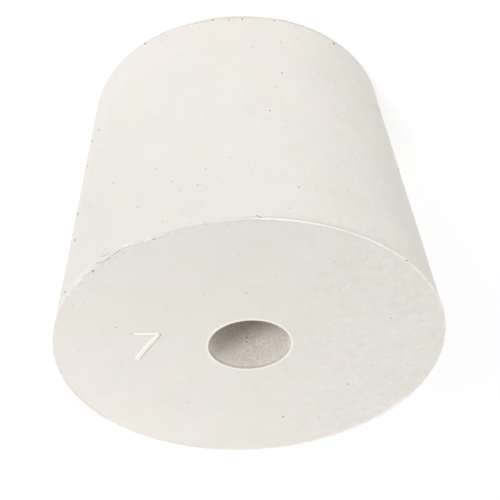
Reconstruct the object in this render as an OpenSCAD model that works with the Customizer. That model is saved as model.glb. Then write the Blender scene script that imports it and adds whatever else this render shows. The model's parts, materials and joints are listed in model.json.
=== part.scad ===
// Tapered laboratory stopper with one hole, moulded in one piece of white rubber.
// It stands on its narrow end: the origin is the centre of that end and +Z runs
// along the hole towards the wide end. A low round lip, left where the moulding
// flash was trimmed, runs around the edge of the wide end. Its crest is the
// highest part of the stopper.

/* [Body] */
// Diameter across the side wall, carried on to the height of the lip's crest
wide_d = 37.5; // [31:0.5:60]
// Diameter across the narrow end, before its edge is rounded
narrow_d = 30; // [14:0.5:37]
// Height from the narrow end to the lip's crest
body_h = 30; // [15:1:60]
// Radius of the rounded edge of the narrow end
narrow_edge_r = 0.4; // [0.1:0.1:2]

/* [Hole] */
// Diameter of the straight hole along the middle
hole_d = 7.9; // [2:0.1:20]

/* [Lip] */
// Height of the lip's crest above the face of the wide end
lip_h = 0.12; // [0.04:0.02:0.5]
// Distance by which the lip stands out past the side wall
lip_out = 0.08; // [0.02:0.02:0.2]
// Radius of the lip's round section
lip_r = 0.12; // [0.06:0.02:0.5]

/* [Hidden] */
$fn = 180;
rubber_white = [0.92, 0.91, 0.88];
// Length by which the hole's cutter runs past each end
cut_past = 1;
// Height of the flat face of the wide end
face_z = body_h - lip_h;
// Growth of the side wall's radius for each millimetre of height
slope = (wide_d - narrow_d) / 2 / body_h;
// Angle between the side wall and the axis
taper = atan(slope);

// Radius of the side wall at height z
function wall_radius(z) = narrow_d / 2 + slope * z;

// Half section of the plug, from the axis outwards, with the edge of the narrow
// end rounded by an arc that touches both the end face and the side wall
module plug_section() {
    edge_c = [wall_radius(narrow_edge_r) - narrow_edge_r / cos(taper), narrow_edge_r];
    polygon([
        [0, 0],
        [edge_c.x, 0],
        edge_c + narrow_edge_r * [cos(taper), -sin(taper)],
        [wall_radius(face_z), face_z],
        [0, face_z]
    ]);
    translate(edge_c) circle(r = narrow_edge_r);
}

// Section of the lip: a round bead on the edge of the wide face, with a stem of
// its own width below it where the bead stands clear of the face
module lip_section() {
    translate([wall_radius(face_z) + lip_out - lip_r, body_h - lip_r]) {
        circle(r = lip_r);
        if (lip_h > lip_r)
            translate([-lip_r, lip_r - lip_h]) square([2 * lip_r, lip_h - lip_r]);
    }
}

// The whole stopper: the tapered plug and its lip, with a straight through hole
module stopper() {
    color(rubber_white)
    difference() {
        rotate_extrude() {
            plug_section();
            lip_section();
        }
        translate([0, 0, -cut_past]) cylinder(d = hole_d, h = body_h + 2 * cut_past);
    }
}

stopper();
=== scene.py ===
"""Dresses a one-hole rubber stopper in moulded off-white rubber and lights it in a pale studio.

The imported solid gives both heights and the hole's radius, and the other main sizes repeat its own.
One Geometry Nodes tree turns the moulded body from them, with its trimmed lip and slightly uneven
skin, and another raises the size numeral. The others lay small lenses in the skin: the larger grains
in two tones, the fine scattered grains, and the crumbs and flakes that the trimming knife left. Each
tree comes out as one plain mesh, in metres, in the frame of the solid: the stopper stands on its
narrow end and +Z runs along the hole towards the wide end.
"""

import json
import logging
import math
from dataclasses import dataclass
from enum import Enum
from functools import cached_property, reduce
from typing import Any, ClassVar, Sequence

import bpy
from mathutils import Matrix, Vector

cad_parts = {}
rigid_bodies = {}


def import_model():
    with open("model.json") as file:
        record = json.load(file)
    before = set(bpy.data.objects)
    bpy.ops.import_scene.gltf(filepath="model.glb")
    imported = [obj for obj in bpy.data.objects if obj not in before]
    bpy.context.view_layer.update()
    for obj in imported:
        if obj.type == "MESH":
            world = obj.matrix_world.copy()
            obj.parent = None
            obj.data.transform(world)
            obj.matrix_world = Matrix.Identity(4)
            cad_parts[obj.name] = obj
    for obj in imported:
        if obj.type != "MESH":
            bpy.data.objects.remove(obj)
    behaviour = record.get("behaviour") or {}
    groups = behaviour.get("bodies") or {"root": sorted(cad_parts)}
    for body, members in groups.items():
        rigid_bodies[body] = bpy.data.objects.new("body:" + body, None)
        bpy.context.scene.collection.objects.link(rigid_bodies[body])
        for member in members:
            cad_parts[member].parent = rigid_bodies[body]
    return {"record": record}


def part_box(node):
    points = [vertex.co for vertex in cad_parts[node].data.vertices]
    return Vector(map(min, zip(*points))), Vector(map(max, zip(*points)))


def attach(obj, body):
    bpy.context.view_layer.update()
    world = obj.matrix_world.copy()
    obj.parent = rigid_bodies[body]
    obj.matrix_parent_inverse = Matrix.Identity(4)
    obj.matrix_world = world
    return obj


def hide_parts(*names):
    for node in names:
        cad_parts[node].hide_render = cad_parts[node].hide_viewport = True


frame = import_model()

LOG = logging.getLogger("rubber_stopper")
NODE_NAME = "stopper"
BODY_NAME = "root"
SLOT_NAME = "white_rubber"
MM = 0.001

Colour = tuple[float, float, float]
Term = Any  # a Value of a node tree, or a plain number or vector
Point = Sequence[Term]  # a point of the section: its distance from the axis and its height


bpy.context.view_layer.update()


class Ray(Enum):
    """A kind of ray that sees the white background in place of the studio's light."""

    CAMERA = "Is Camera Ray"
    GLOSSY = "Is Glossy Ray"
    TRANSMISSION = "Is Transmission Ray"


class Ease(Enum):
    """How the steps along a stretch of the section are spaced."""

    EVEN = "even"
    FINE_ENDS = "fine ends"


@dataclass(frozen=True)
class Arc:
    """A stretch around the axis in degrees: its middle, half its length, and how far its ends fade."""

    middle: float
    half: float
    fade: float


@dataclass(frozen=True)
class StopperSizes:
    """The stopper's sizes in metres.

    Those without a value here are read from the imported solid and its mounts. The others repeat the
    solid's own, except the radius of the hole's mouths, which the solid leaves sharp.
    """

    height: float
    face_height: float
    hole_radius: float
    wide_radius: float = 18.75 * MM
    narrow_radius: float = 15.0 * MM
    lip_reach: float = 0.08 * MM
    edge_radius: float = 0.4 * MM
    mouth_radius: float = 0.05 * MM

    @classmethod
    def from_frame(cls, record: dict[str, Any]) -> "StopperSizes":
        """Reads the sizes that the frame holds.

        Args:
            record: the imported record.

        Returns:
            The stopper's sizes.
        """
        low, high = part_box(NODE_NAME)
        mounts = {mount["name"]: mount for mount in record["mounts"]}
        return cls(height=high.z - low.z, face_height=mounts["wide_face"]["pos_m"][2],
                   hole_radius=mounts["tube_hole"]["dims"]["r_mm"] * MM)

    @property
    def relief(self) -> float:
        """Height of the lip and the numeral above the wide face."""
        return self.height - self.face_height

    @property
    def slope(self) -> float:
        """Growth of the side wall's radius with height."""
        return (self.wide_radius - self.narrow_radius) / self.height

    @property
    def rim_radius(self) -> float:
        """The side wall's radius at the height of the wide face."""
        return self.wall_radius(self.face_height)

    @property
    def lip_middle(self) -> float:
        """Distance of the lip's crest from the axis."""
        return self.rim_radius + self.lip_reach - self.relief

    def wall_radius(self, height: float) -> float:
        """Returns the side wall's radius at a height."""
        return self.narrow_radius + self.slope * height


def linear(colour: Colour) -> Colour:
    """Returns a display colour as the linear colour that a shader takes."""
    return tuple(c / 12.92 if c <= 0.04045 else ((c + 0.055) / 1.055) ** 2.4 for c in colour)


def direction(azimuth_deg: float, elevation_deg: float = 0.0) -> Vector:
    """Returns the unit vector towards an azimuth, from +X towards +Y, and an elevation."""
    azimuth, elevation = math.radians(azimuth_deg), math.radians(elevation_deg)
    return Vector((math.cos(azimuth) * math.cos(elevation),
                   math.sin(azimuth) * math.cos(elevation), math.sin(elevation)))


class Value:
    """A number, vector or geometry that a node puts out; numbers take the usual signs."""

    def __init__(self, graph: "Graph", socket: bpy.types.NodeSocket) -> None:
        """Args:
            graph: the tree that the node is in.
            socket: the output that carries the value.
        """
        self.graph, self.socket = graph, socket

    def __add__(self, other: Term) -> "Value":
        """Returns self + other."""
        return self.graph.math("ADD", self, other)

    def __sub__(self, other: Term) -> "Value":
        """Returns self - other."""
        return self.graph.math("SUBTRACT", self, other)

    def __rsub__(self, other: Term) -> "Value":
        """Returns other - self."""
        return self.graph.math("SUBTRACT", other, self)

    def __mul__(self, other: Term) -> "Value":
        """Returns self * other."""
        return self.graph.math("MULTIPLY", self, other)

    def __truediv__(self, other: Term) -> "Value":
        """Returns self / other."""
        return self.graph.math("DIVIDE", self, other)

    def __neg__(self) -> "Value":
        """Returns -self."""
        return self * -1.0

    __radd__, __rmul__ = __add__, __mul__


class Graph:
    """Adds nodes to one node tree, so that a rule reads as a few sums."""

    place_source: ClassVar[tuple[str, str]] = ("ShaderNodeTexCoord", "Object")

    def __init__(self, tree: bpy.types.NodeTree) -> None:
        """Args:
            tree: the node tree that is added to.
        """
        self.tree = tree

    @staticmethod
    def _pick(sockets: Any, key: str | int) -> bpy.types.NodeSocket:
        """Returns the socket with that identifier, or else with that name or number."""
        return next((socket for socket in sockets if socket.identifier == key), None) or sockets[key]

    def feed(self, socket: bpy.types.NodeSocket, value: Term) -> None:
        """Links a value into an input, or sets the input's own value.

        Args:
            socket: the input that is fed.
            value: a Value to link, or what the input is set to.
        """
        if isinstance(value, Value):
            self.tree.links.new(value.socket, socket)
        elif socket.type == "RGBA":
            socket.default_value = (*value, 1.0)
        else:
            socket.default_value = value

    def add(self, kind: str, inputs: dict[Any, Term] | None = None, **settings: Any) -> bpy.types.Node:
        """Adds one node.

        Args:
            kind: the node's type name.
            inputs: what its inputs are fed, by their identifiers, names or numbers.
            settings: properties set on the node.

        Returns:
            The new node.
        """
        node = self.tree.nodes.new(kind)
        for name, value in settings.items():
            setattr(node, name, value)
        for key, value in (inputs or {}).items():
            self.feed(self._pick(node.inputs, key), value)
        return node

    def outs(self, kind: str, outputs: Sequence[Any], inputs: dict[Any, Term] | None = None,
             **settings: Any) -> list[Value]:
        """Adds one node, as add does, and returns the outputs with those identifiers or numbers."""
        node = self.add(kind, inputs, **settings)
        return [Value(self, self._pick(node.outputs, key)) for key in outputs]

    def get(self, kind: str, inputs: dict[Any, Term] | None = None, output: Any = 0,
            **settings: Any) -> Value:
        """Adds one node, as add does, and returns one of its outputs."""
        return self.outs(kind, (output,), inputs, **settings)[0]

    def math(self, operation: str, *values: Term, clamp: bool = False) -> Value:
        """Returns what a Math node makes of the values, held between 0 and 1 if clamp is set."""
        return self.get("ShaderNodeMath", dict(enumerate(values)), operation=operation, use_clamp=clamp)

    def most(self, *values: Term) -> Value:
        """Returns the largest of the values."""
        return reduce(lambda first, second: self.math("MAXIMUM", first, second), values)

    def least(self, first: Term, second: Term) -> Value:
        """Returns the smaller of two values."""
        return self.math("MINIMUM", first, second)

    def wheel(self, angle: Term) -> tuple[Value, Value]:
        """Returns an angle's cosine and sine."""
        return self.math("COSINE", angle), self.math("SINE", angle)

    def ramp(self, value: Value, low: Term, high: Term, to_low: Term = 0.0, to_high: Term = 1.0,
             smooth: bool = True) -> Value:
        """Maps a range of a value to another range and holds it there.

        Args:
            value: the value that is mapped.
            low: where the range starts.
            high: where the range ends.
            to_low: the result at low.
            to_high: the result at high.
            smooth: whether the result eases in and out.

        Returns:
            The mapped value.
        """
        inputs = {"Value": value, "From Min": low, "From Max": high, "To Min": to_low, "To Max": to_high}
        return self.get("ShaderNodeMapRange", inputs, "Result", clamp=True,
                        interpolation_type="SMOOTHSTEP" if smooth else "LINEAR")

    def past(self, value: Value, edge: Term, low: float, high: float, to_low: Term = 0.0,
             to_high: Term = 1.0) -> Value:
        """Maps a length as ramp does, from low to high millimetres past an edge."""
        return self.ramp(value, edge + low * MM, edge + high * MM, to_low, to_high)

    def vector(self, x: Term, y: Term, z: Term) -> Value:
        """Returns the vector with those three parts."""
        return self.get("ShaderNodeCombineXYZ", {0: x, 1: y, 2: z})

    def parts(self, vector: Value) -> list[Value]:
        """Returns a vector's three parts."""
        return self.outs("ShaderNodeSeparateXYZ", range(3), {0: vector})

    def scaled(self, vector: Term, factor: Term) -> Value:
        """Returns the vector times a number."""
        return self.get("ShaderNodeVectorMath", {0: vector, "Scale": factor}, operation="SCALE")

    def noise(self, place: Value, scale: float, detail: float, seed: Term) -> Value:
        """Adds a Noise Texture whose fourth coordinate is its seed.

        Args:
            place: the point that is looked up.
            scale: features per metre of that point.
            detail: octaves of finer noise.
            seed: the fourth coordinate.

        Returns:
            The noise, around one half.
        """
        inputs = {"Vector": place, "Scale": scale, "Detail": detail, "W": seed}
        return self.get("ShaderNodeTexNoise", inputs, noise_dimensions="4D")

    @cached_property
    def place(self) -> Value:
        """The point that is worked on."""
        return self.get(self.place_source[0], output=self.place_source[1])

    @cached_property
    def axes(self) -> list[Value]:
        """The point's x, y and height."""
        return self.parts(self.place)

    @cached_property
    def radius(self) -> Value:
        """The point's distance from the axis."""
        return self.math("SQRT", self.axes[0] * self.axes[0] + self.axes[1] * self.axes[1])

    @cached_property
    def angle(self) -> Value:
        """The point's angle around the axis."""
        return self.math("ARCTAN2", self.axes[1], self.axes[0])

    @cached_property
    def ring(self) -> Value:
        """The point of a circle of radius 1 around the origin at that angle."""
        return self.vector(*self.wheel(self.angle), 0.0)

    def off_angle(self, target_deg: float) -> Value:
        """Returns how far the point's angle lies from a target, the short way round, in radians."""
        cosine, sine = self.wheel(self.angle - math.radians(target_deg))
        return self.math("ABSOLUTE", self.math("ARCTAN2", sine, cosine))

    def window(self, arc: Arc) -> Value:
        """Returns 1 within an arc, and 0 where its two ends have faded out."""
        return self.ramp(self.off_angle(arc.middle), math.radians(arc.half + arc.fade),
                         math.radians(arc.half))


class Paint(Graph):
    """A material's node tree."""

    def __init__(self, name: str) -> None:
        """Args:
            name: the material's name.
        """
        self.material = bpy.data.materials.new(name)
        self.material.use_nodes = True
        super().__init__(self.material.node_tree)

    def dress(self, inputs: dict[str, Term]) -> bpy.types.Material:
        """Feeds the shader.

        Args:
            inputs: what the shader's inputs are fed, by their names.

        Returns:
            The finished material.
        """
        for name, value in inputs.items():
            self.feed(self.tree.nodes["Principled BSDF"].inputs[name], value)
        return self.material

    def mix(self, share: Term, first: Term, second: Term) -> Value:
        """Returns a colour that goes from first to second as share goes from 0 to 1."""
        return self.get("ShaderNodeMix", {"Factor_Float": share, "A_Color": first, "B_Color": second},
                        "Result_Color", data_type="RGBA")

    def shade(self, colour: Term, noise: Value, share: float) -> Value:
        """Returns the colour made lighter or darker by up to a share of itself."""
        return self.scaled(colour, self.ramp(noise, 0.3, 0.7, 1.0 - share, 1.0 + share, False))

    def near(self, value: Value, target: Term, full: float, none: float) -> Value:
        """Returns 1 within full of the target, and 0 beyond none of it, both in millimetres."""
        return self.ramp(self.math("ABSOLUTE", value - target), none * MM, full * MM)

    def pair(self, operation: str, first: Term, second: Term, output: Any = 0) -> Value:
        """Returns what a Vector Math node makes of two vectors."""
        return self.get("ShaderNodeVectorMath", {0: first, 1: second}, output, operation=operation)


@dataclass(frozen=True)
class Hairline:
    """A fine straight mark in the skin, with its ends and half its width in millimetres."""

    start: tuple[float, float, float]
    end: tuple[float, float, float]
    half_width: float
    strength: float


@dataclass(frozen=True)
class MarkedArc(Arc):
    """A stretch around the axis that holds a faint mark, and how strong the mark is."""

    strength: float


@dataclass(frozen=True)
class WhiteRubber:
    """Matt moulded rubber: a faint mottle, sparse specks, worn marks and dirt, with painted highlights and
    shade.

    Mottles are (scale, seed) and coarse mottles (scale, seed, share). Each arc or marked arc says
    where around the axis the mark of that name lies.
    """

    sizes: StopperSizes
    paint: Paint
    base: Colour = (0.945, 0.9268, 0.8955)
    creamy: Colour = (0.942, 0.9278, 0.888)
    # The bore's colour, darker and warmer than the skin's: painted shade of the hole.
    bore: Colour = (0.900, 0.872, 0.828)
    # Pale tone for worn marks, and for the painted highlights on the lip, the numeral and the hole's mouth.
    wear_and_highlight: Colour = (1.0, 0.995, 0.955)
    # Dark tone for dirt and knife marks, and for the painted shade in creases, under the lip, on the narrow
    # edge and inside the hole's mouth.
    dirt_and_shade: Colour = (0.60, 0.575, 0.53)
    dark_speck: Colour = (0.82, 0.805, 0.775)
    pale_speck: Colour = (0.985, 0.98, 0.96)
    roughness: tuple[float, float] = (0.57, 0.70)
    gloss: float = 0.35
    mottle_share: float = 0.012
    mottles: tuple[tuple[float, float], ...] = ((170.0, 29.0), (420.0, 11.0), (2600.0, 13.0))
    coarse_mottles: tuple[tuple[float, float, float], ...] = ((3000.0, 17.0, 0.02), (1000.0, 23.0, 0.028))
    bore_stipple: float = 0.19
    grain_height: float = 0.014 * MM
    bore_grain: float = 4.0
    speck_cell: float = 0.8 * MM
    stroke_cell: float = 1.5 * MM
    stroke_lean_deg: float = 57.0
    stroke_fan: float = 1.4
    stroke_bend: float = 900.0
    numeral_zone: float = 17.0 * MM
    # Where the painted highlight lies on the lip's crest and at its root.
    broad_crest: Arc = Arc(78.0, 9.0, 10.0)
    bright_crest: Arc = Arc(80.0, 9.0, 8.0)
    pale_root: Arc = Arc(84.0, 3.0, 3.0)
    # Where the painted highlight round the hole's mouth is broad.
    broad_mouth: Arc = Arc(96.0, 35.0, 30.0)
    pale_foot: Arc = Arc(95.0, 16.0, 8.0)
    scraped_wall: MarkedArc = MarkedArc(152.0, 8.0, 8.0, 0.4)
    # Where dirt and painted shade lie in the crease inside the trimmed lip.
    cut_corner: MarkedArc = MarkedArc(125.0, 32.0, 8.0, 0.25)
    # Where the painted shade under the lip lies: its line and a soft band on the wall.
    low_line: Arc = Arc(84.0, 5.0, 4.0)
    shaded_line: MarkedArc = MarkedArc(62.0, 25.0, 5.0, 0.2)
    shaded_wall: MarkedArc = MarkedArc(65.0, 14.0, 5.0, 0.08)
    # Where the painted shade on the narrow edge lies, and its strength all round.
    shaded_foot_line: Arc = Arc(93.0, 13.0, 8.0)
    shaded_foot_arc: MarkedArc = MarkedArc(42.0, 28.0, 12.0, 0.6)
    foot_shade_all_round: float = 0.3
    scratches: tuple[Hairline, ...] = (
        Hairline((8.5, 8.05, 29.88), (9.1, 8.9, 29.88), 0.08, 0.8),
        Hairline((9.1, 8.9, 29.88), (9.4, 9.7, 29.88), 0.07, 0.5),
        Hairline((10.6, 5.6, 29.88), (11.0, 6.4, 29.88), 0.06, 0.4),
    )
    # Knife marks on the trimmed rim, and painted shade lines in the lip's crease and along the numeral.
    cuts_and_shade_lines: tuple[Hairline, ...] = (
        Hairline((-13.65, 12.75, 29.4), (-13.1, 13.35, 29.75), 0.11, 0.4),
        Hairline((-13.1, 13.35, 29.75), (-12.55, 13.9, 29.85), 0.08, 0.7),
        Hairline((-12.55, 13.9, 29.85), (-11.5, 14.75, 29.65), 0.09, 0.85),
        Hairline((-11.5, 14.75, 29.65), (-10.05, 15.8, 29.8), 0.08, 0.45),
        Hairline((-13.2, 13.15, 29.0), (-12.35, 13.95, 29.25), 0.09, 0.45),
        Hairline((-8.6, 16.4, 29.88), (-8.25, 16.45, 29.88), 0.10, 0.7),
        Hairline((-15.0, 11.15, 29.7), (-14.45, 11.9, 29.75), 0.10, 0.35),
        Hairline((0.65, 18.67, 29.5), (1.0, 18.7, 29.75), 0.12, 0.6),
        # Painted shade in the crease just inside the lip.
        Hairline((0.4, 18.53, 29.88), (2.2, 18.42, 29.88), 0.07, 0.2),
        Hairline((-2.1, 18.65, 29.88), (-1.75, 17.75, 29.88), 0.13, 0.10),
        # Painted shade along the numeral's leg, on the flank away from the key lamp.
        Hairline((-8.36, 2.42, 29.93), (-8.40, 2.20, 29.93), 0.14, 0.35),
        Hairline((-8.40, 2.20, 29.93), (-9.10, 1.07, 29.93), 0.14, 0.42),
        Hairline((-9.10, 1.07, 29.93), (-9.81, -0.29, 29.93), 0.14, 0.45),
        Hairline((-9.81, -0.29, 29.93), (-10.52, -1.50, 29.93), 0.12, 0.35),
        # Painted shadow under the numeral's bar.
        Hairline((-10.67, 2.30, 29.90), (-9.00, 2.10, 29.90), 0.11, 0.14),
    )

    def build(self) -> bpy.types.Material:
        """Makes the material.

        Returns:
            The finished material.
        """
        paint = self.paint
        rough = paint.ramp(paint.noise(paint.place, scale=900.0, detail=2.0, seed=5.0), 0.3, 0.7,
                           *self.roughness)
        return paint.dress({"Base Color": self._tone(), "Roughness": rough,
                            "Specular IOR Level": self.gloss, "Normal": self._grain()})

    def _tone(self) -> Value:
        """Lays the colours over each other, from the plain skin up to the dirt and the painted shade.

        Returns:
            The skin's colour.
        """
        paint, face = self.paint, self.sizes.face_height
        patches = paint.ramp(paint.noise(paint.place, scale=150.0, detail=4.0, seed=3.0), 0.32, 0.68)
        colour = paint.mix(patches, linear(self.base), linear(self.creamy))
        for scale, seed in self.mottles:
            colour = paint.shade(colour, paint.noise(paint.place, scale, 3.0, seed), self.mottle_share)
        coarse = colour
        for scale, seed, share in self.coarse_mottles:
            coarse = paint.shade(coarse, paint.noise(paint.place, scale, 2.0, seed), share)
        worn_side = paint.past(paint.axes[0], 0.0, -2.0, 12.0)
        near_face = paint.ramp(paint.axes[2], 24.0 * MM, face, 0.6, 1.0)
        worn_face = worn_side * paint.past(paint.axes[2], face, -0.1, 0.0)
        colour = paint.mix(worn_side * near_face, colour, coarse)
        stipple = paint.noise(paint.place, scale=4200.0, detail=3.0, seed=19.0)
        # The bore gets its darker, warmer colour: painted shade of the hole.
        colour = paint.mix(self._bored(0.0, 1.0), colour,
                           paint.shade(linear(self.bore), stipple, self.bore_stipple))
        for mask, tone in (
                (self._specks(seed=0.13, reach=0.11 * MM, chosen=0.30), self.dark_speck),
                (self._specks(seed=0.61, reach=0.12 * MM, chosen=0.35), self.pale_speck),
                (self._strokes(seed=0.0, turn_deg=0.0) * (worn_face * 0.6), self.wear_and_highlight),
                (self._strokes(seed=0.41, turn_deg=60.0) * (worn_face * 0.4), self.wear_and_highlight),
                (self._strokes(seed=0.83, turn_deg=20.0) * (worn_face * 0.3), self.dark_speck),
                (self._hairlines(self.scratches), self.wear_and_highlight),
                # Pale worn marks and painted highlights, then dirt, knife marks and painted shade.
                (self._wear_and_highlight_mask(), self.wear_and_highlight),
                (paint.most(self._dirt_and_shade_mask(), self._hairlines(self.cuts_and_shade_lines)), self.dirt_and_shade)):
            colour = paint.mix(mask, colour, linear(tone))
        return colour

    def _bored(self, outside: float, inside: float) -> Value:
        """Returns one value for the outer skin and one for the bore, which meet at its mouths."""
        hole = self.sizes.hole_radius
        return self.paint.ramp(self.paint.radius, hole, hole + self.sizes.mouth_radius, inside, outside)

    def _outer_skin(self) -> Value:
        """Returns 1 where the skin is about as far from the axis as the wall, and 0 nearer to it."""
        return self.paint.past(self.paint.radius, self.sizes.narrow_radius, -0.8, -0.4)

    def _mark_strength(self, stain: MarkedArc) -> Value:
        """Returns the mark's strength within its stretch, and 0 where its two ends have faded out."""
        return self.paint.window(stain) * stain.strength

    def _cells(self, shift: Sequence[float], cell: float) -> tuple[Value, Value, Value, list[Value]]:
        """Scatters places over the skin, about one in each cell.

        Args:
            shift: how far the pattern is moved.
            cell: the mean distance between the places.

        Returns:
            The moved point, the nearest place, how far that lies in cells, and its random numbers.
        """
        moved = self.paint.get("ShaderNodeMapping", {"Vector": self.paint.place, "Location": shift})
        place, gap, lot = self.paint.outs("ShaderNodeTexVoronoi", ("Position", "Distance", "Color"),
                                          {"Vector": moved, "Scale": 1.0 / cell})
        return moved, place, gap, self.paint.parts(lot)

    def _specks(self, seed: float, reach: float, chosen: float) -> Value:
        """Finds small round specks at random places.

        Args:
            seed: shifts the pattern.
            reach: radius of the largest speck.
            chosen: share of the places that hold one.

        Returns:
            A mask that is 1 in a speck.
        """
        paint, largest = self.paint, reach / self.speck_cell
        _, _, gap, lot = self._cells((seed, seed, seed), self.speck_cell)
        size = paint.ramp(lot[1], 0.0, 1.0, 0.4 * largest, largest, False)
        return paint.ramp(gap, size, size * 0.4) * paint.math("LESS_THAN", lot[0], chosen)

    def _strokes(self, seed: float, turn_deg: float) -> Value:
        """Finds short strokes that lean one way, some straight and some bent.

        Args:
            seed: shifts the pattern.
            turn_deg: how far they are turned from the usual lean.

        Returns:
            A mask.
        """
        paint = self.paint
        moved, place, _, lot = self._cells((seed, seed, 0.0), self.stroke_cell)
        x, y, _ = paint.parts(paint.pair("SUBTRACT", moved, place))
        cosine, sine = paint.wheel((lot[1] - 0.5) * self.stroke_fan
                                   + math.radians(self.stroke_lean_deg + turn_deg))
        along, across = x * cosine + y * sine, y * cosine - x * sine
        bend = (lot[2] - 0.5) * self.stroke_bend * (along * along)
        length = lot[2] * (0.5 * MM) + 0.15 * MM
        short = paint.ramp(paint.math("ABSOLUTE", along), length, length * 0.3)
        return paint.near(across + bend, 0.0, 0.03, 0.08) * short * paint.ramp(lot[0], 0.2, 0.5, 1.0, 0.0)

    def _hairlines(self, lines: Sequence[Hairline]) -> Value:
        """Finds the skin that lies on one of the hairlines.

        Args:
            lines: the marks.

        Returns:
            A mask.
        """
        paint, masks = self.paint, []
        for line in lines:
            start, half = Vector(line.start) * MM, line.half_width * MM
            run = Vector(line.end) * MM - start
            off = paint.pair("SUBTRACT", paint.place, start)
            share = paint.pair("DOT_PRODUCT", off, run / run.length_squared, "Value")
            foot = paint.scaled(run, paint.ramp(share, 0.0, 1.0, smooth=False))
            gap = paint.pair("DISTANCE", off, foot, "Value")
            masks.append(paint.ramp(gap, 0.3 * half, half, line.strength, 0.0))
        return paint.most(*masks)

    def _wear_and_highlight_mask(self) -> Value:
        """Finds what is pale: the lip and the numeral, worn and with a painted highlight, the painted
        highlight round the hole's mouth, the narrow edge and the scraped wall.

        Returns:
            A mask.
        """
        paint, sizes, arc = self.paint, self.sizes, self.paint.window
        radius, height = paint.radius, paint.axes[2]
        face, hole, rim = sizes.face_height, sizes.hole_radius, sizes.rim_radius
        # Painted highlight, with some worn paleness, on the lip's crest and the numeral.
        limit = arc(self.broad_crest) * (0.07 * MM) + (sizes.lip_middle + 0.04 * MM)
        proud = (paint.ramp(height, face + 0.1 * sizes.relief, face + 0.55 * sizes.relief)
                 * paint.past(radius, limit, 0.0, 0.06, 1.0, 0.0))
        crest_wear_and_highlight = paint.noise(paint.ring, scale=16.0, detail=2.0, seed=8.0)
        crest_wear_and_highlight = paint.most(paint.ramp(crest_wear_and_highlight, 0.35, 0.6, 0.6, 1.0), arc(self.bright_crest),
                          paint.past(radius, self.numeral_zone, 0.5, 0.0))
        # Painted highlight at the lip's root on the wall.
        root = (paint.past(height, face, -0.2, -0.1) * arc(self.pale_root)
                * paint.past(radius, rim, -0.095, -0.055))
        # Painted highlight round the hole's mouth.
        mouth = paint.most(paint.near(radius, hole + 0.12 * MM, 0.08, 0.14),
                           arc(self.broad_mouth) * paint.near(radius, hole + 0.22 * MM, 0.10, 0.18))
        mouth = mouth * paint.past(height, face, -0.1, -0.03)
        # A paler band on the narrow edge's rounding.
        foot = (paint.past(height, sizes.edge_radius, -0.08, 0.02, 0.5, 0.0) * arc(self.pale_foot)
                * self._outer_skin())
        patchy = paint.noise(paint.place, scale=350.0, detail=3.0, seed=8.0)
        scraped = (paint.past(height, face, -3.88, -0.28) * self._mark_strength(self.scraped_wall)
                   * paint.ramp(patchy, 0.3, 0.6, 0.5, 1.0) * paint.past(radius, rim, -0.185, -0.135))
        return paint.most(proud * crest_wear_and_highlight, mouth, foot, scraped, root)

    def _dirt_and_shade_mask(self) -> Value:
        """Finds the dark marks: dirt and painted shade in the cut corner, and painted shade under the lip,
        on the narrow edge and inside the bore's mouth.

        Returns:
            A mask of broken lines.
        """
        paint, sizes, arc = self.paint, self.sizes, self.paint.window
        radius, height = paint.radius, paint.axes[2]
        face, relief = sizes.face_height, sizes.relief
        broken = paint.noise(paint.ring, scale=18.0, detail=3.0, seed=6.0)
        # Dirt and painted shade in the crease inside the trimmed lip.
        corner = (paint.near(radius, sizes.lip_middle - 0.10 * MM, 0.02, 0.09)
                  * paint.near(height, face, 0.05, 0.1) * self._mark_strength(self.cut_corner)
                  * paint.ramp(broken, 0.45, 0.6))
        # Painted shade: a dark line on the wall under the lip.
        line = arc(self.low_line) * -relief + (face - 1.3 * relief)
        under = (paint.near(height, line, 0.03, 0.09) * self._outer_skin()
                 * paint.most(paint.ramp(broken, 0.55, 0.7, 0.0, 0.4), self._mark_strength(self.shaded_line)))
        # Painted shade: a soft dark band on the wall under the lip.
        shade_under_lip = (paint.past(height, face, -0.9, -0.12) * self._mark_strength(self.shaded_wall)
                * paint.past(radius, sizes.rim_radius, -0.155, -0.115)
                * paint.ramp(broken, 0.35, 0.6, 0.6, 1.3) * paint.past(height, face, -0.04, 0.02, 1.0, 0.0))
        # Painted shade on the narrow edge: a grey line where its rounding starts, and greyer rounding below
        # it.
        edge_shade_line = (paint.near(height, sizes.edge_radius + 0.1 * MM, 0.03, 0.10)
                * (arc(self.shaded_foot_line) * paint.ramp(broken, 0.4, 0.5, 0.1, 0.32)))
        foot = (paint.past(height, 0.0, 0.12, 0.5, 1.0, 0.0) * paint.ramp(broken, 0.3, 0.5, 0.5, 1.0)
                * (self._mark_strength(self.shaded_foot_arc) + self.foot_shade_all_round))
        # Painted shade just inside the bore's mouth.
        mouth = (paint.near(height, face - 0.2 * MM, 0.06, 0.2)
                 * paint.past(radius, sizes.hole_radius, 0.01, 0.02, 0.4, 0.0))
        return paint.most(corner, under, shade_under_lip, paint.most(edge_shade_line, foot) * self._outer_skin(), mouth)

    def _grain(self) -> Value:
        """Gives the skin its fine grain and slow unevenness, coarser in the bore.

        Returns:
            The way that the skin faces.
        """
        paint = self.paint
        fine = paint.noise(paint.place, scale=2400.0, detail=3.0, seed=7.0)
        slow = paint.noise(paint.place, scale=600.0, detail=2.0, seed=9.0)
        return paint.get("ShaderNodeBump", {
            "Strength": 0.5, "Distance": self.grain_height,
            "Height": fine * self._bored(1.0, self.bore_grain) + slow * 2.0})


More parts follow.
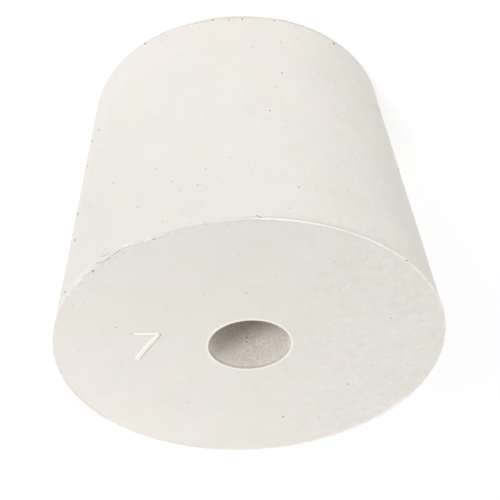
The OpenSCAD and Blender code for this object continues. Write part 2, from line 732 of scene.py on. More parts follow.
@dataclass(frozen=True)
class GrainFinish:
    """The plain, matt finish of grains and crumbs in the rubber's skin."""

    name: str
    tone: Colour
    roughness: float = 0.8

    def build(self) -> bpy.types.Material:
        """Makes the material.

        Returns:
            The finished material.
        """
        paint = Paint(self.name)
        mottle = paint.noise(paint.place, scale=1500.0, detail=2.0, seed=21.0)
        return paint.dress({"Base Color": paint.shade(linear(self.tone), mottle, 0.2),
                            "Roughness": self.roughness})


DARK_GRAIN = GrainFinish("dark_grain", (0.66, 0.64, 0.60))
FAINT_GRAIN = GrainFinish("faint_grain", (0.845, 0.83, 0.795))
PALE_CRUMB = GrainFinish("pale_crumb", (0.99, 0.985, 0.955))


@dataclass
class Part(Graph):
    """A piece of the stopper, made by a Geometry Nodes tree with named inputs."""

    sizes: StopperSizes
    finish: bpy.types.Material
    name: ClassVar[str]
    place_source: ClassVar[tuple[str, str]] = ("GeometryNodeInputPosition", "Position")

    def __post_init__(self) -> None:
        """Makes the tree with its two ends."""
        super().__init__(bpy.data.node_groups.new(self.name, "GeometryNodeTree"))
        for way in ("INPUT", "OUTPUT"):
            self.tree.interface.new_socket("Geometry", in_out=way, socket_type="NodeSocketGeometry")
        self.entry = self.add("NodeGroupInput")
        self.values: dict[str, float | int] = {}

    @property
    def source(self) -> Value:
        """The geometry that goes into the tree."""
        return Value(self, self.entry.outputs["Geometry"])

    @cached_property
    def normal(self) -> Value:
        """The way that the surface faces at the point that is worked on."""
        return self.get("GeometryNodeInputNormal")

    def size(self, name: str, value: float | int) -> Value:
        """Adds a named input, which takes whole numbers only if its value is one.

        Args:
            name: the input's name.
            value: the value that it has when the tree is run.

        Returns:
            The input's value inside the tree.
        """
        kind = "NodeSocketInt" if isinstance(value, int) else "NodeSocketFloat"
        item = self.tree.interface.new_socket(name, in_out="INPUT", socket_type=kind)
        self.values[item.identifier] = value
        return Value(self, self.entry.outputs[name])

    def join(self, shapes: Sequence[Value]) -> Value:
        """Joins shapes.

        Args:
            shapes: the geometries.

        Returns:
            All of them as one geometry.
        """
        node = self.add("GeometryNodeJoinGeometry")
        for shape in shapes:
            self.feed(node.inputs[0], shape)
        return Value(self, node.outputs[0])

    def move(self, shape: Value, **places: Value) -> Value:
        """Returns the shape with its points at a new Position, or moved by an Offset."""
        return self.get("GeometryNodeSetPosition", {"Geometry": shape, **places})

    def run(self, shape: Value, source: bpy.types.Mesh | None = None) -> bpy.types.Object:
        """Shades the shape smooth, ends the tree in its finish and runs it once.

        Args:
            shape: the finished geometry.
            source: the mesh that goes in, if the tree reads one.

        Returns:
            The piece, an object at the origin with a plain mesh and no modifier.
        """
        smooth = self.get("GeometryNodeSetShadeSmooth", {"Geometry": shape})
        real = self.get("GeometryNodeRealizeInstances", {"Geometry": smooth})
        dressed = self.get("GeometryNodeSetMaterial", {"Geometry": real, "Material": self.finish})
        self.add("NodeGroupOutput", {0: dressed})
        objects = bpy.context.scene.collection.objects
        source = source or bpy.data.meshes.new(self.name + "_source")
        carrier = bpy.data.objects.new(self.name + "_carrier", source)
        objects.link(carrier)
        modifier = carrier.modifiers.new(self.name, "NODES")
        modifier.node_group = self.tree
        for identifier, value in self.values.items():
            modifier[identifier] = value
        carrier.update_tag()
        bpy.context.view_layer.update()
        shaped = carrier.evaluated_get(bpy.context.evaluated_depsgraph_get())
        mesh = bpy.data.meshes.new_from_object(shaped)
        bpy.data.objects.remove(carrier)
        mesh.name = self.name
        piece = bpy.data.objects.new(self.name, mesh)
        objects.link(piece)
        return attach(piece, BODY_NAME)


@dataclass(frozen=True)
class LipStretch(Arc):
    """A stretch of the lip that the trimming knife left standing, and what share of its height."""

    kept: float


@dataclass(frozen=True)
class Nick:
    """A cut that the trimming knife left in the lip: where, how long in millimetres, how deep."""

    angle_deg: float
    length: float
    depth: float


@dataclass
class MouldedBody(Part):
    """The tapered plug with its hole and lip, turned from its section by a node tree."""

    steps_around: int = 1080
    unevenness: float = 0.02 * MM
    lip_foot: float = 0.14 * MM
    chip_depth: float = 0.07 * MM
    lean: float = 0.08 * MM
    lean_height: float = 0.06 * MM
    leaning: Arc = Arc(48.0, 15.0, 12.0)
    seam_gap: float = 0.0005 * MM
    seed: float = 4.0
    stretches: tuple[LipStretch, ...] = (
        LipStretch(65.0, 22.0, 2.0, 1.0),
        LipStretch(34.0, 9.0, 3.0, 0.75),
        LipStretch(91.0, 4.0, 3.0, 0.45),
        LipStretch(116.5, 3.0, 1.0, 0.75),
        LipStretch(128.5, 2.0, 1.5, 0.45),
        LipStretch(18.5, 3.5, 2.0, 0.6),
        LipStretch(207.0, 9.0, 4.0, 0.8),
        LipStretch(292.0, 34.0, 5.0, 0.9),
    )
    nicks: tuple[Nick, ...] = (
        Nick(87.4, 0.35, 0.7), Nick(57.0, 0.3, 0.3), Nick(47.0, 0.3, 0.4), Nick(39.5, 0.5, 0.5),
        Nick(69.0, 0.25, 0.35), Nick(29.0, 0.4, 0.6), Nick(271.0, 0.5, 0.9), Nick(301.0, 0.4, 0.7),
    )
    name: ClassVar[str] = "moulded_body"

    def build(self) -> bpy.types.Object:
        """Builds the body's mesh.

        Returns:
            The moulded body, which stands for the solid.
        """
        sizes = self.sizes
        height = self.size("Height", sizes.height)
        face = self.size("Face height", sizes.face_height)
        wide = self.size("Wide radius", sizes.wide_radius)
        narrow = self.size("Narrow radius", sizes.narrow_radius)
        hole = self.size("Hole radius", sizes.hole_radius)
        edge = self.size("Narrow edge radius", sizes.edge_radius)
        mouth = self.size("Hole mouth radius", sizes.mouth_radius)
        reach = self.size("Lip reach", sizes.lip_reach)
        self.face, self.around = face, self.size("Steps around", self.steps_around) + 1.0

        slope = (wide - narrow) / height
        corner = -self.math("ARCTANGENT", slope)
        upright = self.math("COSINE", corner)
        lip = height - face
        crease = corner - self.math("ARCCOSINE", (lip - reach) * upright / lip)
        quarter = math.pi / 2
        inner_turn = 1.3 * quarter
        foot = (narrow + slope * edge - edge / upright, edge)
        crest = (narrow + slope * face - (lip - reach), face)
        lip_foot = (crest[0] - lip - self.size("Lip foot", self.lip_foot), face)
        top_mouth, low_mouth = (hole + mouth, face - mouth), (hole + mouth, mouth)
        turns = [
            self._round(low_mouth, mouth, math.pi, 3 * quarter, steps=3),
            self._straight((low_mouth[0], 0.0), (foot[0], 0.0), steps=8),
            self._round(foot, edge, -quarter, corner, steps=8),
            self._straight(self._on_circle(foot, edge, corner), self._on_circle(crest, lip, crease),
                           steps=22),
            self._round(crest, lip, crease, inner_turn, steps=12),
            self._straight(self._on_circle(crest, lip, inner_turn), lip_foot, steps=3, ease=Ease.EVEN),
            self._straight(lip_foot, (top_mouth[0], face), steps=20),
            self._round(top_mouth, mouth, quarter, math.pi, steps=4),
            self._straight((hole, top_mouth[1]), (hole, mouth), steps=8),
        ]
        shape = self.get("GeometryNodeMergeByDistance", {"Geometry": self.join(turns),
                                                         "Distance": self.seam_gap})
        shape = self._trim_lip(shape, narrow + slope * self.least(self.axes[2], face))
        piece = self.run(self._unsettle(shape))
        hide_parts(NODE_NAME)
        return piece

    def _on_circle(self, centre: Point, radius: Term, angle: Term) -> Point:
        """Returns the point of the section at that angle of a circle in it."""
        return [middle + radius * way for middle, way in zip(centre, self.wheel(angle))]

    def _between(self, first: Term, last: Term, ease: Ease) -> Value:
        """Returns the values from first to last along a stretch."""
        along = self.axes[1] + 0.5
        return first + (last - first) * (self.ramp(along, 0.0, 1.0) if ease is Ease.FINE_ENDS else along)

    def _turn(self, point: Point, steps: int) -> Value:
        """Turns a stretch of the section around the axis.

        Args:
            point: the section's point at each place along the stretch.
            steps: faces along it.

        Returns:
            The turned surface.
        """
        grid = self.get("GeometryNodeMeshGrid", {"Size X": 1.0, "Size Y": 1.0, "Vertices X": self.around,
                                                 "Vertices Y": steps + 1})
        cosine, sine = self.wheel((self.axes[0] + 0.5) * (2.0 * math.pi))
        return self.move(grid, Position=self.vector(point[0] * cosine, point[0] * sine, point[1]))

    def _straight(self, start: Point, end: Point, steps: int, ease: Ease = Ease.FINE_ENDS) -> Value:
        """Turns a straight stretch of the section, with its steps spaced as ease says."""
        return self._turn([self._between(*ends, ease) for ends in zip(start, end)], steps)

    def _round(self, centre: Point, radius: Term, first: Term, last: Term, steps: int) -> Value:
        """Turns a round stretch of the section, between two angles from outwards towards up."""
        angle = self._between(first, last, Ease.EVEN)
        return self._turn(self._on_circle(centre, radius, angle), steps)

    def _trim_lip(self, shape: Value, wall: Value) -> Value:
        """Lowers the lip unevenly around the rim, as a knife trims flash.

        Args:
            shape: the turned body.
            wall: the side wall's radius at each point's height.

        Returns:
            The body with its lip trimmed.
        """
        seed = self.size("Lip seed", self.seed)
        x, y, z = self.axes
        slow = self.noise(self.ring, scale=14.0, detail=2.0, seed=seed)
        quick = self.noise(self.ring, scale=42.0, detail=3.0, seed=seed + 20.0)
        standing = self.most(*(self.window(stretch) * stretch.kept for stretch in self.stretches))
        for nick in self.nicks:
            standing = standing * self._nick(nick)
        rough = 1.0 - standing
        scrap = self.math("MULTIPLY", quick - 0.42, 1.5, clamp=True)
        whole = standing * self.ramp(slow + quick * 0.9, 0.7, 1.15, 1.0, 0.55)
        gone = 1.0 - self.least(whole + rough * scrap, 1.0)
        lift = self.most(z - self.face, 0.0)
        chip = self._chips(wall, seed) * (rough * rough)
        lean = self.window(self.leaning) * self.size("Lean", self.lean)
        lean = lean * self.least(lift / self.lean_height, 1.0) * self.ramp(quick, 0.35, 0.65, 0.4, 1.3)
        pull = -(self.most(self.radius - wall, 0.0) * gone + chip + lean) / self.radius
        return self.move(shape, Offset=self.vector(x * pull, y * pull, -(lift * gone + chip * 0.5)))

    def _chips(self, wall: Value, seed: Value) -> Value:
        """Finds how deep the knife chipped the rim's corner at each point.

        Args:
            wall: the side wall's radius.
            seed: shifts the pattern.

        Returns:
            The depth.
        """
        depth = self.size("Chip depth", self.chip_depth)
        bite = self.ramp(self.noise(self.place, scale=1900.0, detail=2.0, seed=seed + 3.0), 0.42, 0.7)
        low = self.past(self.axes[2], self.face, -0.35, -0.05)
        outer = self.past(self.radius, wall, -0.45, -0.15)
        return bite * depth * (low * outer)

    def _nick(self, nick: Nick) -> Value:
        """Returns what share of the lip's height one nick leaves at each angle."""
        along = self.off_angle(nick.angle_deg) * self.radius
        return self.past(along, 0.0, 0.2 * nick.length, 0.6 * nick.length, 1.0 - nick.depth, 1.0)

    def _unsettle(self, shape: Value) -> Value:
        """Presses the skin in by slow, slight waves, as moulded rubber has.

        Args:
            shape: the body.

        Returns:
            The body with its skin uneven, nowhere outside its true sizes.
        """
        wave = self.ramp(self.noise(self.place, scale=170.0, detail=1.0, seed=2.0), 0.25, 0.75)
        inwards = -(wave * self.size("Unevenness", self.unevenness))
        return self.move(shape, Offset=self.scaled(self.normal, inwards))


@dataclass
class SizeNumeral(Part):
    """The raised 7 that says the stopper's size, on the left of the hole."""

    bar_start: tuple[float, float] = (-10.88 * MM, 2.57 * MM)
    corner: tuple[float, float] = (-8.50 * MM, 2.45 * MM)
    bend: tuple[float, float] = (-9.50 * MM, 1.0 * MM)
    foot: tuple[float, float] = (-10.85 * MM, -1.5 * MM)
    leg_steps: int = 12
    bar_width: float = 0.26 * MM
    leg_width: float = 0.42 * MM
    corner_radius: float = 0.12 * MM
    corner_steps: int = 6
    step: float = 0.04 * MM
    ring_steps: int = 32
    crispness: float = 2.2
    relief_share: float = 0.97
    end_share: float = 0.1
    name: ClassVar[str] = "size_numeral"

    def build(self) -> bpy.types.Object:
        """Builds the numeral's mesh.

        Returns:
            The raised numeral.
        """
        face = self.size("Face height", self.sizes.face_height)
        relief = self.size("Relief", self.relief_share * self.sizes.relief)
        bar, leg = self.size("Bar width", self.bar_width), self.size("Leg width", self.leg_width)
        bend = self.size("Corner radius", self.corner_radius)
        line = self.get("GeometryNodeMeshToCurve", {0: self.source})
        line = self.get("GeometryNodeFilletCurve", {"Curve": line, "Count": self.corner_steps,
                                                    "Radius": bend}, mode="POLY")
        line = self.get("GeometryNodeResampleCurve", {"Curve": line, "Length": self.step}, mode="LENGTH")
        ring = self.get("GeometryNodeCurvePrimitiveCircle", {"Resolution": self.ring_steps, "Radius": 1.0})
        sweep = self.get("GeometryNodeCurveToMesh", {
            "Curve": line, "Profile Curve": ring, "Scale": self._half_width(bar, leg), "Fill Caps": True})
        x, y, z = self.axes
        crisp = self.least((z - face) / (leg * 0.5) * self.crispness, 1.0)
        raised = self.move(sweep, Position=self.vector(x, y, face + crisp * relief))
        piece = self.run(raised, self._path())
        return piece

    def _half_width(self, bar: Value, leg: Value) -> Value:
        """Finds half the stroke's width along the path, with its two ends round.

        Args:
            bar: width of the bar.
            leg: width of the leg.

        Returns:
            Half the width at each point of the path.
        """
        share, gone = self.outs("GeometryNodeSplineParameter", ("Factor", "Length"))
        whole = self.get("GeometryNodeSplineLength")
        half = (bar + self.ramp(share, 0.30, 0.5) * (leg - bar)) * 0.5
        for left in (gone, whole - gone):
            short = 1.0 - self.least(left / (bar * 0.5), 1.0)
            half = half * self.most(self.math("SQRT", 1.0 - short * short), self.end_share)
        return half

    def _path(self) -> bpy.types.Mesh:
        """Makes the numeral's middle line: the bar, and a leg that bends a little.

        Returns:
            A mesh of edges.
        """
        points = [Vector(self.bar_start)]
        first, middle, last = Vector(self.corner), Vector(self.bend), Vector(self.foot)
        for step in range(self.leg_steps + 1):
            share = step / self.leg_steps
            points.append((1 - share) ** 2 * first + 2 * share * (1 - share) * middle
                          + share ** 2 * last)
        mesh = bpy.data.meshes.new("numeral_path")
        mesh.from_pydata([(*point, self.sizes.face_height) for point in points],
                         [(index, index + 1) for index in range(len(points) - 1)], [])
        return mesh


@dataclass
class LensPart(Part):
    """A piece made of small flattened lenses that lie in the skin."""

    segments: ClassVar[int] = 12
    rings: ClassVar[int] = 6
    unevenness: ClassVar[float] = 0.06 * MM
    end_gap: ClassVar[float] = 0.002 * MM

    @cached_property
    def push(self) -> Value:
        """How far each point of a lens is moved, so that no lens is quite even."""
        wave = self.noise(self.place, scale=7000.0, detail=1.0, seed=2.0) - 0.5
        return self.scaled(self.normal, wave * self.size("Unevenness", self.unevenness))

    def lenses(self, points: Value, facing: Value, reach: Value, sunk: float = 0.15,
               flatness: float = 0.5, along: Value | None = None, stretch: Term = 1.0) -> Value:
        """Puts one lens on each point.

        Args:
            points: the points, on the skin.
            facing: the way the skin faces at each point.
            reach: the lens's radius at each point.
            sunk: how far it is sunk, as a share of its radius.
            flatness: its height, as a share of its width.
            along: the way a long lens lies, if it does.
            stretch: its length, as a share of its width.

        Returns:
            The lenses as one real mesh, slightly uneven.
        """
        lens = self.get("GeometryNodeMeshUVSphere", {"Segments": self.segments, "Rings": self.rings,
                                                     "Radius": 1.0})
        turn = self.get("FunctionNodeAlignRotationToVector", {"Vector": facing}, axis="Z")
        if along is not None:
            turn = self.get("FunctionNodeAlignRotationToVector", {"Rotation": turn, "Vector": along},
                            axis="X", pivot_axis="Z")
        seated = self.move(points, Offset=self.scaled(facing, reach * -sunk))
        scale = self.vector(reach * stretch, reach, reach * flatness)
        copies = self.get("GeometryNodeInstanceOnPoints", {"Points": seated, "Instance": lens,
                                                           "Rotation": turn, "Scale": scale})
        return self.move(self.get("GeometryNodeRealizeInstances", {0: copies}), Offset=self.push)

    def lay(self, lenses: Value, source: bpy.types.Mesh) -> bpy.types.Object:
        """Runs the tree, with the lenses pressed in where they would stand out past the two ends.

        Args:
            lenses: all the lenses.
            source: the mesh that the tree reads.

        Returns:
            The piece.
        """
        x, y, z = self.axes
        inside = self.least(self.most(z, 0.0), self.sizes.height - self.end_gap)
        return self.run(self.move(lenses, Position=self.vector(x, y, inside)), source)

    def stored(self, name: str, kind: str = "FLOAT") -> Value:
        """Returns the named value that each point carries."""
        return self.get("GeometryNodeInputNamedAttribute", {"Name": name}, "Attribute", data_type=kind)

    def lot(self, low: float, high: float, seed: int) -> Value:
        """Returns a random number between low and high for each point."""
        return self.get("FunctionNodeRandomValue", {"Min_001": low, "Max_001": high, "Seed": seed},
                        "Value_001", data_type="FLOAT")

    def mostly_small(self, seed: int) -> Value:
        """Returns a random size from 0.4 to 1.4 for each point, more often a small one."""
        return self.math("POWER", self.lot(0.0, 1.0, seed), 2.0) + 0.4

    @staticmethod
    def spots(name: str, places: Sequence[Vector], values: dict[str, Sequence[Any]]) -> bpy.types.Mesh:
        """Makes a mesh of points that carry named values.

        Args:
            name: the mesh's name.
            places: the points.
            values: for each name, one number or one vector for each point.

        Returns:
            The mesh.
        """
        mesh = bpy.data.meshes.new(name)
        mesh.from_pydata(places, [], [])
        for title, given in values.items():
            if isinstance(given[0], Vector):
                row = mesh.attributes.new(title, "FLOAT_VECTOR", "POINT")
                row.data.foreach_set("vector", [part for vector in given for part in vector])
            else:
                row = mesh.attributes.new(title, "FLOAT", "POINT")
                row.data.foreach_set("value", given)
        return mesh


@dataclass(frozen=True)
class GrainPlaces:
    """Where the larger grains of one tone lie, all lengths in millimetres.

    Grains on the wall and in the bore are (degrees around the axis, height, radius), those on
    the face are (x, y, radius), and those on the lip are (degrees, radius).
    """

    name: str
    on_wall: tuple[tuple[float, float, float], ...]
    on_face: tuple[tuple[float, float, float], ...]
    on_lip: tuple[tuple[float, float], ...]
    in_bore: tuple[tuple[float, float, float], ...] = ()


STRONG_GRAINS = GrainPlaces(
    "dark_grains",
    on_wall=(
        (75.4, 9.0, 0.08), (81.2, 15.0, 0.08), (152.5, 7.9, 0.10), (158.7, 8.0, 0.09),
        (159.0, 11.4, 0.08), (159.8, 17.7, 0.15), (156.0, 22.0, 0.14), (156.0, 28.5, 0.10),
        (128.0, 0.4, 0.15), (99.0, 0.5, 0.10), (92.8, 0.8, 0.08), (87.8, 0.7, 0.10),
        (75.4, 0.6, 0.08), (49.0, 0.8, 0.14), (196.0, 12.4, 0.10), (214.0, 21.7, 0.11),
        (229.5, 6.3, 0.09), (252.0, 15.8, 0.12), (266.5, 3.4, 0.08), (291.0, 9.2, 0.10),
        (305.5, 24.6, 0.09), (333.0, 5.7, 0.08), (344.0, 20.8, 0.10), (18.0, 12.6, 0.09),
    ),
    on_face=((-0.3, 8.3, 0.07), (9.8, -7.2, 0.08), (3.4, -12.7, 0.09)),
    on_lip=((138.6, 0.12), (41.0, 0.14)),
    in_bore=((268.7, 26.1, 0.10), (267.6, 26.6, 0.09)),
)
FAINT_GRAINS = GrainPlaces(
    "faint_grains",
    on_wall=(
        (79.0, 28.4, 0.09), (75.4, 25.4, 0.09), (77.0, 27.4, 0.09), (104.0, 24.7, 0.09),
        (112.0, 23.4, 0.11), (117.5, 20.9, 0.11), (94.5, 21.7, 0.07), (98.0, 24.1, 0.07),
        (101.7, 22.8, 0.09), (114.0, 28.3, 0.07), (123.0, 25.1, 0.06), (134.5, 19.6, 0.08),
        (66.8, 2.8, 0.08), (74.0, 4.0, 0.08), (139.7, 16.1, 0.08), (55.2, 6.3, 0.07),
        (78.6, 11.4, 0.07), (146.8, 20.0, 0.10), (133.9, 28.3, 0.08), (184.0, 24.9, 0.08),
        (201.5, 16.2, 0.09), (238.0, 26.1, 0.10), (246.0, 11.0, 0.08), (278.0, 19.9, 0.10),
        (284.5, 17.6, 0.07), (318.0, 13.1, 0.10), (326.0, 26.8, 0.08), (357.0, 8.4, 0.09),
        (33.0, 20.3, 0.08),
    ),
    on_face=(
        (-12.5, 3.7, 0.08), (-11.2, 2.6, 0.08), (-7.6, 6.2, 0.06), (7.5, 9.7, 0.09),
        (1.1, 6.3, 0.07), (-6.6, 4.8, 0.07), (2.4, 10.5, 0.08), (11.7, 6.8, 0.06),
        (13.3, 3.6, 0.09), (16.2, 2.8, 0.10), (-6.1, -9.4, 0.09), (-11.9, -6.6, 0.07),
        (7.1, -13.4, 0.08), (14.2, -4.7, 0.09),
    ),
    on_lip=((127.0, 0.09), (116.6, 0.08), (112.0, 0.10)),
)


@dataclass
class EmbeddedGrains(LensPart):
    """The larger grains of one tone in the skin, each a small sunk lens."""

    places: GrainPlaces
    swell: float = 1.2
    lip_seat: float = 0.7
    lip_facing_deg: float = 35.0

    @property
    def name(self) -> str:
        """The piece's name, which says the tone."""
        return self.places.name

    def build(self) -> bpy.types.Object:
        """Builds the grains' mesh.

        Returns:
            All the grains as one piece.
        """
        facing, reach = self.stored("facing", "FLOAT_VECTOR"), self.stored("reach")
        return self.lay(self.lenses(self.source, facing, reach), self._spots())

    def _spots(self) -> bpy.types.Mesh:
        """Makes the points that the grains stand on.

        Returns:
            A mesh of points that carry the way they face and their reach.
        """
        sizes, places, up = self.sizes, self.places, Vector((0.0, 0.0, 1.0))
        rows: list[tuple[Vector, Vector, float]] = []
        for angle, height, reach in places.on_wall:
            out = direction(angle)
            rows.append((out * sizes.wall_radius(height * MM) + up * height * MM,
                         (out - up * sizes.slope).normalized(), reach))
        for angle, height, reach in places.in_bore:
            out = direction(angle)
            rows.append((out * sizes.hole_radius + up * height * MM, -out, reach))
        for x, y, reach in places.on_face:
            rows.append((Vector((x * MM, y * MM, sizes.face_height)), up, reach))
        for angle, reach in places.on_lip:
            centre = direction(angle) * (sizes.lip_middle - self.lip_seat * sizes.relief)
            rows.append((centre + up * sizes.face_height,
                         direction(angle + 180.0, self.lip_facing_deg), reach))
        centres, facings, reaches = zip(*rows)
        return self.spots("grain_points", centres, {
            "facing": facings, "reach": [self.swell * reach * MM for reach in reaches]})


@dataclass
class ScatteredGrains(LensPart):
    """The finer dark grains, at random places on the skin above the narrow end's edge."""

    body: bpy.types.Object
    density: float = 50000.0
    reach: float = 0.06 * MM
    seed: int = 7
    name: ClassVar[str] = "scattered_grains"

    def build(self) -> bpy.types.Object:
        """Builds the grains' mesh.

        Returns:
            All the fine grains as one piece.
        """
        above = self.math("GREATER_THAN", self.axes[2], self.sizes.edge_radius)
        points, facing = self.outs("GeometryNodeDistributePointsOnFaces", ("Points", "Normal"), {
            "Mesh": self.source, "Selection": above, "Density": self.size("Density", self.density),
            "Seed": self.size("Seed", self.seed)}, distribute_method="RANDOM")
        reach = self.size("Reach", self.reach) * self.mostly_small(self.seed + 1)
        return self.lay(self.lenses(points, facing, reach), self.body.data.copy())


@dataclass(frozen=True)
class CrumbBand:
    """A band of the rim with crumbs on it, with its lengths in millimetres.

    Its edges lie inwards of the side wall and below the wide face by those lengths. Rise says how
    far up its crumbs face.
    """

    title: str
    count: int
    rise: float
    seed: int
    inwards: tuple[float, float]
    below: tuple[float, float]


@dataclass
class TrimCrumbs(LensPart):
    """The crumbs and flakes of rubber that the knife left along the trimmed side of the rim.

    Flakes are (degrees around the axis, height, half length, half width), lengths in millimetres.
    """

    flakes: tuple[tuple[float, float, float, float], ...] = (
        (118.6, 29.72, 0.28, 0.09), (124.6, 29.35, 0.32, 0.10), (115.4, 29.15, 0.10, 0.09),
        (139.9, 29.50, 0.12, 0.09), (145.4, 29.66, 0.20, 0.10), (147.6, 29.80, 0.16, 0.08),
        (135.6, 29.05, 0.14, 0.07), (116.6, 29.40, 0.12, 0.07),
    )
    flake_rise: float = 0.3
    flake_depth: float = 0.03 * MM
    bands: tuple[CrumbBand, ...] = (
        CrumbBand("On wall", 46, 0.25, 5, inwards=(0.07, 0.03), below=(0.45, 0.02)),
        CrumbBand("On face", 26, 1.2, 25, inwards=(0.35, 0.06), below=(0.01, 0.0)),
    )
    from_deg: float = 94.0
    to_deg: float = 152.0
    reach: float = 0.06 * MM
    longest: float = 2.5
    name: ClassVar[str] = "trim_crumbs"

    def build(self) -> bpy.types.Object:
        """Builds the crumbs' mesh.

        Returns:
            All the crumbs as one piece.
        """
        long, wide = self.stored("half_length"), self.stored("half_width")
        tangent = self.vector(-self.axes[1], self.axes[0], 0.0)
        groups = [self.lenses(self.source, self._outward(self.flake_rise), wide, 0.2, 0.6, tangent,
                              long / wide)]
        usual = self.size("Reach", self.reach)
        for band in self.bands:
            reach = usual * self.mostly_small(band.seed + 3)
            groups.append(self.lenses(self._scatter(band), self._outward(band.rise), reach, 0.2, 0.7,
                                      tangent, self.lot(1.0, self.longest, band.seed + 4)))
        return self.lay(self.join(groups), self._spots())

    def _outward(self, rise: float) -> Value:
        """Returns the way away from the axis, and up by that share of it."""
        wall = self.sizes.rim_radius
        return self.vector(self.axes[0] / wall, self.axes[1] / wall, rise)

    def _scatter(self, band: CrumbBand) -> Value:
        """Scatters points over a band.

        Args:
            band: where they lie and how many there are.

        Returns:
            The points.
        """
        cosine, sine = self.wheel(self.lot(math.radians(self.from_deg), math.radians(self.to_deg),
                                           band.seed))
        radius = self.lot(*(self.sizes.rim_radius - gap * MM for gap in band.inwards), band.seed + 1)
        height = self.lot(*(self.sizes.face_height - gap * MM for gap in band.below), band.seed + 2)
        return self.get("GeometryNodePoints", {"Count": self.size(band.title, band.count),
                                               "Position": self.vector(radius * cosine, radius * sine,
                                                                       height)})

    def _spots(self) -> bpy.types.Mesh:
        """Makes the points that the flakes stand on.

        Returns:
            A mesh of points that carry half a flake's length and half its width.
        """
        angles, heights, longs, wides = zip(*self.flakes)
        places = [direction(angle) * (self.sizes.wall_radius(height * MM) - self.flake_depth)
                  + Vector((0.0, 0.0, height * MM)) for angle, height in zip(angles, heights)]
        return self.spots("flake_points", places, {"half_length": [long * MM for long in longs],
                                                   "half_width": [wide * MM for wide in wides]})


@dataclass(frozen=True)
class Lamp:
    """A soft light: a far one, or a round panel at a distance from the stopper's upper part."""

    name: str
    azimuth_deg: float
    elevation_deg: float
    power: float
    colour: Colour = (1.0, 1.0, 1.0)
    spread_deg: float = 0.0
    distance: float = 0.0
    panel: float = 0.0


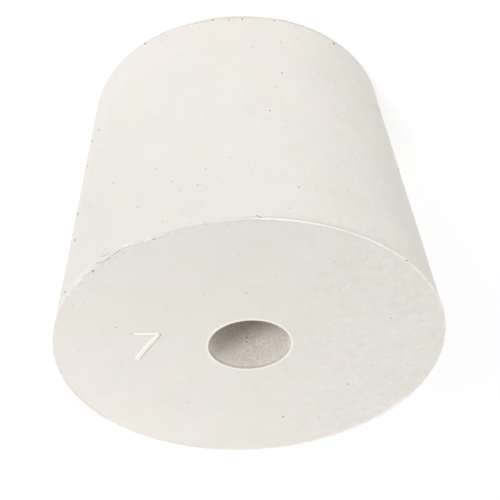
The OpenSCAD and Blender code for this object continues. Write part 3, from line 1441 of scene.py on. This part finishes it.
@dataclass
class Studio:
    """The white floor, the soft light and the camera."""

    floor_half: float = 3.0
    floor_lit: float = 0.82
    floor_seen: float = 0.42
    floor_glow: float = 0.7
    sky_strength: float = 0.5
    lamps: tuple[Lamp, ...] = (
        Lamp("key", 117.5, 29.0, 1.43, (0.966, 0.972, 1.02), spread_deg=16.0),
        Lamp("fill", 20.0, 8.0, 0.79, spread_deg=40.0),
        Lamp("back_panel", 225.0, 25.0, 0.042, distance=110.0 * MM, panel=60.0 * MM),
    )
    lamp_aim: float = 25.0 * MM
    camera_azimuth_deg: float = 92.122
    camera_elevation_deg: float = 39.004
    camera_roll_deg: float = 176.630
    camera_distance: float = 158.760 * MM
    camera_aim: tuple[float, float, float] = (0.570 * MM, 0.021 * MM, 18.168 * MM)
    camera_near: float = 10.0 * MM
    lens_mm: float = 114.120
    sensor_mm: float = 36.0

    def build(self) -> None:
        """Makes the floor, the sky, the lamps and the camera."""
        self._floor()
        self._sky()
        for lamp in self.lamps:
            self._light(lamp)
        self._camera()
        bpy.context.scene.view_settings.view_transform = "Standard"

    @staticmethod
    def _add(name: str, data: bpy.types.ID) -> bpy.types.Object:
        """Puts a new object in the scene.

        Args:
            name: the object's name.
            data: what it shows.

        Returns:
            The object.
        """
        thing = bpy.data.objects.new(name, data)
        bpy.context.scene.collection.objects.link(thing)
        return thing

    @staticmethod
    def _background_rays(graph: Graph) -> Value:
        """Returns 1 for the rays that see the white background, and 0 for the rest."""
        return graph.most(*graph.outs("ShaderNodeLightPath", [ray.value for ray in Ray]))

    def _floor(self) -> None:
        """Lays the floor that the stopper stands on."""
        half = self.floor_half
        mesh = bpy.data.meshes.new("studio_floor")
        mesh.from_pydata([(-half, -half, 0.0), (half, -half, 0.0), (half, half, 0.0),
                          (-half, half, 0.0)], [], [(0, 1, 2, 3)])
        material = bpy.data.materials.new("studio_floor")
        material.use_nodes = True
        material.node_tree.nodes.clear()
        graph = Graph(material.node_tree)
        lit, seen = (graph.get("ShaderNodeBsdfDiffuse", {"Color": (tone,) * 3})
                     for tone in (self.floor_lit, self.floor_seen))
        glow = graph.get("ShaderNodeEmission", {"Strength": self.floor_glow})
        bright = graph.get("ShaderNodeAddShader", {0: seen, 1: glow})
        choice = graph.get("ShaderNodeMixShader", {0: self._background_rays(graph), 1: lit, 2: bright})
        graph.add("ShaderNodeOutputMaterial", {"Surface": choice})
        mesh.materials.append(material)
        self._add("studio_floor", mesh)

    def _sky(self) -> None:
        """Surrounds the stopper with even light, and shows white behind it."""
        world = bpy.data.worlds.new("studio_sky")
        world.use_nodes = True
        bpy.context.scene.world = world
        graph, background = Graph(world.node_tree), world.node_tree.nodes["Background"]
        graph.feed(background.inputs["Color"], (1.0, 1.0, 1.0))
        strength = graph.ramp(self._background_rays(graph), 0.0, 1.0, self.sky_strength, 1.0, False)
        graph.feed(background.inputs["Strength"], strength)

    def _light(self, lamp: Lamp) -> None:
        """Hangs one soft light.

        Args:
            lamp: what it is and where it hangs.
        """
        data = bpy.data.lights.new(lamp.name, "AREA" if lamp.distance else "SUN")
        data.energy, data.color = lamp.power, lamp.colour
        if lamp.distance:
            data.shape, data.size = "DISK", lamp.panel
        else:
            data.angle = math.radians(lamp.spread_deg)
        light = self._add(lamp.name, data)
        way = direction(lamp.azimuth_deg, lamp.elevation_deg)
        light.rotation_euler = way.to_track_quat("Z", "Y").to_euler()
        light.location = Vector((0.0, 0.0, self.lamp_aim)) + way * lamp.distance

    def _camera(self) -> None:
        """Sets the camera above the wide end, with the narrow end at the top of the picture."""
        data = bpy.data.cameras.new("camera")
        data.lens, data.sensor_width, data.clip_start = self.lens_mm, self.sensor_mm, self.camera_near
        camera = self._add("camera", data)
        way = direction(self.camera_azimuth_deg, self.camera_elevation_deg)
        turn = way.to_track_quat("Z", "Y").to_matrix().to_4x4()
        roll = Matrix.Rotation(math.radians(self.camera_roll_deg), 4, "Z")
        place = Vector(self.camera_aim) + way * self.camera_distance
        camera.matrix_world = Matrix.Translation(place) @ turn @ roll
        bpy.context.scene.camera = camera


def report(piece: bpy.types.Object) -> None:
    """Logs one piece's name and how many faces it has."""
    LOG.info("%s: %d faces", piece.name, len(piece.data.polygons))


def main() -> None:
    """Builds the stopper and its studio."""
    logging.basicConfig(level=logging.INFO, format="%(name)s: %(message)s")
    sizes = StopperSizes.from_frame(frame["record"])
    rubber = WhiteRubber(sizes, Paint(SLOT_NAME)).build()
    Studio().build()
    faint = FAINT_GRAIN.build()
    body = MouldedBody(sizes, rubber).build()
    report(body)
    for maker in (SizeNumeral(sizes, rubber),
                  EmbeddedGrains(sizes, DARK_GRAIN.build(), STRONG_GRAINS),
                  EmbeddedGrains(sizes, faint, FAINT_GRAINS),
                  ScatteredGrains(sizes, faint, body), TrimCrumbs(sizes, PALE_CRUMB.build())):
        report(maker.build())
    bpy.context.view_layer.update()


if __name__ == "__main__":
    main()
